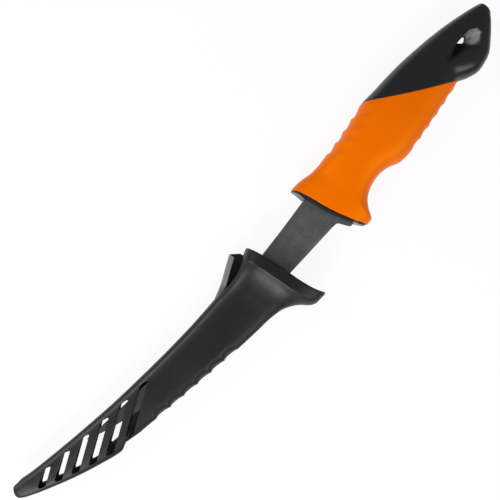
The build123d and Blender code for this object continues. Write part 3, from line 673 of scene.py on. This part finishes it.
def studio():
    """Camera at the photograph's angle, a plain pale floor and soft studio light."""
    camera = bpy.data.objects.new("camera", bpy.data.cameras.new("camera"))
    bpy.context.scene.collection.objects.link(camera)
    spot = Vector(CAMERA_SPOT) * MM
    look = (Vector(CAMERA_TARGET) * MM - spot).normalized()
    right = look.cross(Vector(CAMERA_UP)).normalized()
    up = right.cross(look)
    camera.matrix_world = Matrix([(right[i], up[i], -look[i], spot[i]) for i in range(3)]
                                 + [(0, 0, 0, 1)])
    camera.data.lens = CAMERA_LENS
    camera.data.sensor_width = CAMERA_SENSOR
    camera.data.clip_start = CAMERA_CLIP
    bpy.context.scene.camera = camera

    corners = [(-FLOOR_HALF, -FLOOR_HALF, 0), (FLOOR_HALF, -FLOOR_HALF, 0),
               (FLOOR_HALF, FLOOR_HALF, 0), (-FLOOR_HALF, FLOOR_HALF, 0)]
    floor = bpy.data.objects.new("floor", mesh_from("floor", corners, [(0, 1, 2, 3)]))
    bpy.context.scene.collection.objects.link(floor)
    material, tree = new_material("painted_board_white")
    ray = add(tree, "ShaderNodeLightPath")
    seen = add(tree, "ShaderNodeMath", {0: ray.outputs["Is Camera Ray"], 1: FLOOR_SEEN},
               operation="MULTIPLY")
    mirrored = add(tree, "ShaderNodeMath",
                   {0: ray.outputs["Is Glossy Ray"], 1: FLOOR_MIRRORED}, operation="MULTIPLY")
    share = add(tree, "ShaderNodeMath", {0: seen, 1: mirrored}, operation="MAXIMUM")
    board = add(tree, "ShaderNodeBsdfDiffuse", {"Color": linear("#FAFAFA")})
    glow = add(tree, "ShaderNodeEmission", {"Color": (1, 1, 1, 1), "Strength": 1.0})
    mixed = add(tree, "ShaderNodeMixShader", {0: share, 1: board, 2: glow})
    add(tree, "ShaderNodeOutputMaterial", {"Surface": mixed})
    floor.data.materials.append(material)

    world = bpy.data.worlds.new("studio")
    bpy.context.scene.world = world
    world.use_nodes = True
    tree = world.node_tree
    tree.nodes.clear()
    ray = add(tree, "ShaderNodeLightPath")
    white = add(tree, "ShaderNodeBackground", {"Color": (1, 1, 1, 1), "Strength": 1.0})
    room = add(tree, "ShaderNodeBackground", {"Color": (1, 1, 1, 1), "Strength": ROOM_LIGHT})
    mixed = add(tree, "ShaderNodeMixShader", {0: ray.outputs["Is Camera Ray"], 1: room, 2: white})
    add(tree, "ShaderNodeOutputWorld", {"Surface": mixed})

    for name, values in LIGHTS.items():
        soft_light(name, *values)


def soft_light(name, side, rise, distance, size, power):
    """An area light on one side of the object, turned to its middle."""
    data = bpy.data.lights.new(name, "AREA")
    data.shape = "RECTANGLE"
    data.size, data.size_y = size[0] * MM, size[1] * MM
    data.energy = power
    lamp = bpy.data.objects.new(name, data)
    bpy.context.scene.collection.objects.link(lamp)
    flat = Vector((side[0], side[1], 0)).normalized() * math.cos(math.radians(rise))
    way = flat + Vector((0, 0, math.sin(math.radians(rise))))
    lamp.location = (way * distance + Vector(LIGHT_TARGET)) * MM
    lamp.rotation_euler = way.to_track_quat("Z", "Y").to_euler()


# Pieces

def grip(finish, scoops):
    """Orange sleeve with thumb ridges on its spine side and scallops under the fingers."""
    angles = np.linspace(0, 2 * math.pi, GRIP_SKIN[0], endpoint=False)
    start = meeting(handle_surface, plate_back_x, angles, PLATE_GUESS)
    end = meeting(handle_surface, junction_x, angles, JUNCTION_GUESS)
    rings = skin(handle_surface, start, end, angles, *GRIP_SKIN[1:])
    front = cap_rings(rings[0], plate_back_x, FLAT_CAP)
    back = cap_rings(rings[-1], junction_x, FLAT_CAP)
    rings = np.array([*front[::-1], *rings, *back])
    rows = between_rows(HANDLE_ROWS, (rings[..., 0] - HANDLE_START) / HANDLE_LENGTH)
    mesh = tube_mesh("grip", rings, {"spine_side": rows[..., 0] * HANDLE_DEPTH - rings[..., 1],
                                     "edge_side": rings[..., 1] - rows[..., 1] * HANDLE_DEPTH})
    ridges = scoop_values("spine_side", finish, **THUMB_RIDGES)
    scallops = scoop_values("edge_side", finish, **SCALLOPS)
    put("grip", shaped(mesh, (scoops, ridges), (scoops, scallops)), finish, "knife",
        ["grip_sleeve"], crease=50)


def half_angles(count, front):
    """Angles round one half of a section, from its spine side to its edge side."""
    turn = np.linspace(0, math.pi, count)
    return turn if front else -turn


def closed_half(rings, front):
    """Rings of half a section, closed a hair off the middle plane."""
    side = 1 if front else -1
    rings = rings.copy()
    rings[..., 2] = np.maximum(rings[..., 2] * side, MID * side + HAIR) * side
    parts = np.linspace(0, 1, CHORD_POINTS + 2)[1:-1]
    first, last = rings[:, :1], rings[:, -1:]
    across = last + (first - last) * parts[None, :, None]
    across[..., 2] = MID + side * HAIR
    return np.concatenate([rings, across], axis=1)


def butt(finish, cutter_tree, front):
    """One half of the black butt behind the grip, with the lanyard hole's tapered walls."""
    name = "butt_front" if front else "butt_back"
    angles = half_angles(BUTT_SKIN[0], front)
    start = meeting(handle_surface, junction_x, angles, JUNCTION_GUESS)
    end = np.full(angles.shape, HANDLE_START + HANDLE_LENGTH)
    rings = skin(handle_surface, start, end, angles, *BUTT_SKIN[1:])
    inner = cap_rings(rings[0], junction_x, FLAT_CAP)
    outer = cap_rings(rings[-1], None, ROUND_CAP)
    rings = closed_half(np.array([*inner[::-1], *rings, *outer]), front)
    rim = rounded(HOLE_RIM, HOLE_CORNER)
    waist = rounded(HOLE_WAIST, WAIST_CORNER)
    hole = as_cutter(prism("lanyard_hole", [
        (rim, MID - HOLE_REACH), (rim, MID - HOLE_DEPTH), (waist, MID + HOLE_WAIST_LOW),
        (waist, MID + HOLE_WAIST_HIGH), (rim, MID + HOLE_DEPTH), (rim, MID + HOLE_REACH)]))
    mesh = shaped(tube_mesh(name, rings), (cutter_tree, {"Cutter": hole, "Finish": finish}))
    bpy.data.objects.remove(hole)
    node = "handle_core_front" if front else "handle_core_back"
    put(name, mesh, finish, "knife", [node], crease=28)


def sheath_edges(x):
    """The sheath's spine side and edge side at x, in millimetres."""
    rows = between_rows(SHEATH_ROWS, (x - SHEATH_TIP) / SHEATH_LENGTH)
    return rows[..., 0] * MOUTH_WIDTH, rows[..., 1] * MOUTH_WIDTH


def slot_outline(place, edge_margin, draft):
    """A slanted drain slot between the margins, with its tip side moved out by the draft."""
    along = np.array([math.cos(math.radians(SLOT_ANGLE)), math.sin(math.radians(SLOT_ANGLE))])
    across = np.array([-along[1], along[0]])
    run = np.linspace(0, *SLOT_SEARCH)[:, None]
    middle = np.array(SLOT_FIRST) + np.array(SLOT_STEP) * place
    corners = []
    for side, way in ((1, 1), (1, -1), (-1, -1), (-1, 1)):
        points = middle + across * side * SLOT_WIDTH / 2 + along * way * run
        high, low = sheath_edges(points[:, 0])
        inside = (points[:, 1] < high - SPINE_MARGIN) & (points[:, 1] > low + edge_margin)
        corners.append(points[np.argmin(inside)] + across * max(side, 0) * draft)
    return rounded(corners, SLOT_CORNER)


def slot_mesh(margins, low, high, draft):
    """Blocks that cut the drain slots between two heights, wider at the top by the draft."""
    points, faces = [], []
    for place, margin in enumerate(margins):
        lower = slot_outline(place, margin, 0)
        upper = slot_outline(place, margin, draft)
        first, size = len(points), len(lower)
        points += [(*point, low) for point in lower] + [(*point, high) for point in upper]
        faces.append(list(range(first, first + size))[::-1])
        faces.append(list(range(first + size, first + 2 * size)))
        faces += [(first + i, first + (i + 1) % size, first + size + (i + 1) % size,
                   first + size + i) for i in range(size)]
    return mesh_from("slots", points, faces)


def hollow_mesh():
    """The sheath's hollow, open past its rim."""
    turn = np.linspace(0, 2 * math.pi, HOLLOW_ROUND, endpoint=False)
    start = np.full(turn.shape, SHEATH_TIP + SHEATH_ROWS[2][0] * SHEATH_LENGTH)
    end = meeting(sheath_surface, rim_x, turn, RIM_MIDDLE) + HOLLOW_PAST_RIM
    x = start + (end - start) * np.linspace(0, 1, HOLLOW_ALONG)[:, None]
    y, z = sheath_surface(x, np.broadcast_to(turn, x.shape), WALL)
    return tube_mesh("hollow", np.stack([x, y, z], axis=-1))


def shell(finish, scoops, cutter_tree, front):
    """One half of the sheath: walled, with drain slots, flutes and the flared collar."""
    name = "sheath_front" if front else "sheath_back"
    angles = half_angles(SHELL_SKIN[0], front)
    start = np.full(angles.shape, SHEATH_TIP)
    end = meeting(sheath_surface, rim_x, angles, RIM_MIDDLE)
    rings = skin(sheath_surface, start, end, angles, *SHELL_SKIN[1:])
    edge = sheath_edges(rings[..., 0])[1]
    step = np.interp(rings[..., 0], *zip(*STEP_ROWS), left=0, right=0)
    rings[..., 1] = np.where(step > 0, np.maximum(rings[..., 1], edge + step), rings[..., 1])
    tip = cap_rings(rings[0], None, ROUND_CAP)
    mouth = cap_rings(rings[-1], rim_x, FLAT_CAP)
    rings = closed_half(np.array([*tip[::-1], *rings, *mouth]), front)
    edge = sheath_edges(rings[..., 0])[1]
    mesh = tube_mesh(name, rings, {"edge_side": rings[..., 1] - edge})
    flutes = scoop_values("edge_side", finish, **FLUTES)
    hollow = as_cutter(hollow_mesh())
    if front:
        margins = [EDGE_MARGIN] * SLOT_COUNT
        slots = as_cutter(slot_mesh(margins, MID - SLOT_OVERLAP, 2 * MID, SLOT_DRAFT))
    else:
        margins = [BACK_MARGIN] * (SLOT_COUNT - 2) + [LAST_MARGIN]
        slots = as_cutter(slot_mesh(margins, SLOT_BOTTOM, MID + SLOT_OVERLAP, 0))
    hollowed = (cutter_tree, {"Cutter": hollow, "Finish": finish})
    slotted = (cutter_tree, {"Cutter": slots, "Finish": finish})
    shells = [shaped(mesh, (scoops, flutes), hollowed, slotted)]
    shells += [guide_rib(x, front) for x in GUIDES]
    if not front:
        shells += [shaped(pad_mesh(place), hollowed) for place in PADS]
        shells += spine_lip()[1]
    bpy.data.objects.remove(hollow)
    bpy.data.objects.remove(slots)
    return joined(name, shells)


def guide_rib(x, front):
    """A rib across half the hollow, which holds one face of the blade."""
    turn = half_angles(GUIDE_POINTS, front)
    side = 1 if front else -1
    y, z = sheath_surface(np.full(turn.shape, x), turn, WALL - GUIDE_ROOT)
    z = MID + side * np.maximum(side * (z - MID), GUIDE_GAP)
    rings = [np.column_stack([np.full(turn.shape, x + reach), y, z])
             for reach in (-GUIDE_HALF, GUIDE_HALF)]
    return tube_mesh("guide_rib", rings)


def pad_mesh(place):
    """A pad of the back shell, which a foot of the belt loop is screwed to."""
    x, y = place
    long, wide = PAD_SIZE[0] / 2, PAD_SIZE[1] / 2
    outline = rounded([(x - long, y - wide), (x + long, y - wide), (x + long, y + wide),
                       (x - long, y + wide)], PAD_CORNER)
    return prism("pad", [(outline, PAD_FOOT), (outline, MID - PAD_TOP)])


def spine_lip():
    """The back shell's flared lip: a sunken base, and the sloped strip along its rim."""
    x = np.linspace(LIP_ROWS[0][0], LIP_ROWS[-1][0], LIP_POINTS)
    outer = between_rows(LIP_ROWS, x)[..., 0]
    grow = np.clip((x - x[0]) / LIP_RAMP, LIP_LEAST, 1)
    inner = sheath_edges(x)[0] - LIP_ROOT
    foot, seat, bed = MID - LIP_FOOT, MID - LIP_SEAT, MID - LIP_BED
    strip, base = [], []
    for place, out, rise, root in zip(x, outer, grow, inner):
        top = out - LIP_STRIP * rise
        back, high = top - LIP_BACK, MID + LIP_INNER * rise
        strip.append([(place, out, seat), (place, out, MID - LIP_OUTER), (place, top, high),
                      (place, top - LIP_CREST, high), (place, back, seat)])
        base.append([(place, root, foot), (place, out, foot), (place, out, seat),
                     (place, back, seat), (place, top - LIP_BED_BACK, bed),
                     (place, root, bed)])
    (end_x, end_y), last = LIP_END, LIP_ROWS[-1]
    begin_x = last[0] - LIP_OVERLAP
    outline = [(begin_x, inner[-1]), (begin_x, last[1] - LIP_BACK), last, (end_x, end_y),
               (end_x + LIP_OVERLAP, end_y - LIP_CORNER_DEPTH)]
    corner = prism("lip_floor", [(outline, foot), (outline, bed - HAIR)])
    return tube_mesh("lip_strip", strip), [tube_mesh("lip_base", base), corner]


def joined(name, meshes):
    """Several closed meshes as one."""
    points, faces = [], []
    for mesh in meshes:
        first = len(points)
        points += [tuple(vertex.co / MM) for vertex in mesh.vertices]
        faces += [[first + corner for corner in face.vertices] for face in mesh.polygons]
    return mesh_from(name, points, faces)


def loop_screws(finish):
    """The belt loop's four screws."""
    mesh = bpy.data.meshes.new("loop_screws")
    values = {"Along": SCREW_ALONG * MM, "Across": SCREW_ACROSS * MM,
              "Head": SCREW_HEAD * MM, "Shank": SCREW_SHANK * MM, "Socket": SCREW_SOCKET * MM,
              "Middle": [place * MM for place in SCREW_MIDDLE], "Finish": finish}
    put("screws", shaped(mesh, (screw_pattern(), values)), finish, "sheath",
        ["loop_screws"], crease=30)


def paint(node, finish):
    """Gives a CAD node that stays its finish."""
    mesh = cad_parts[node].data
    mesh.materials.clear()
    mesh.materials.append(finish)


studio()
polypropylene = polypropylene_black("moulded_polypropylene_black", 0.36, 0.44, "#0F0F10",
                                    "#171718")
# the lip's strip has a pale grey base, a painted highlight where it faces the light, and a
# glossier finish
lip_painted_highlight = polypropylene_black("rubbed_polypropylene_black", 0.18, 0.24, "#585859",
                                 "#626263")
nylon = moulded_nylon_black()
rubber = overmoulded_rubber_orange()
coating = coated_blade_steel()
stainless = turned_stainless_steel()
scoops = row_of_scoops()
cutting = cut_by()
grip(rubber, scoops)
butt(nylon, cutting, True)
butt(nylon, cutting, False)
put("sheath_front", shell(polypropylene, scoops, cutting, True), polypropylene, "sheath",
    ["sheath_front_shell"], crease=30)
put("sheath_back", shell(polypropylene, scoops, cutting, False), polypropylene, "sheath",
    ["sheath_back_shell"], crease=30)
put("lip_strip", spine_lip()[0], lip_painted_highlight, "sheath", [], crease=30)
loop_screws(stainless)
paint("blade", coating)
paint("guard_plate", nylon)
paint("tang_pins", stainless)
paint("belt_loop", polypropylene)
bpy.context.scene.view_settings.view_transform = "Standard"
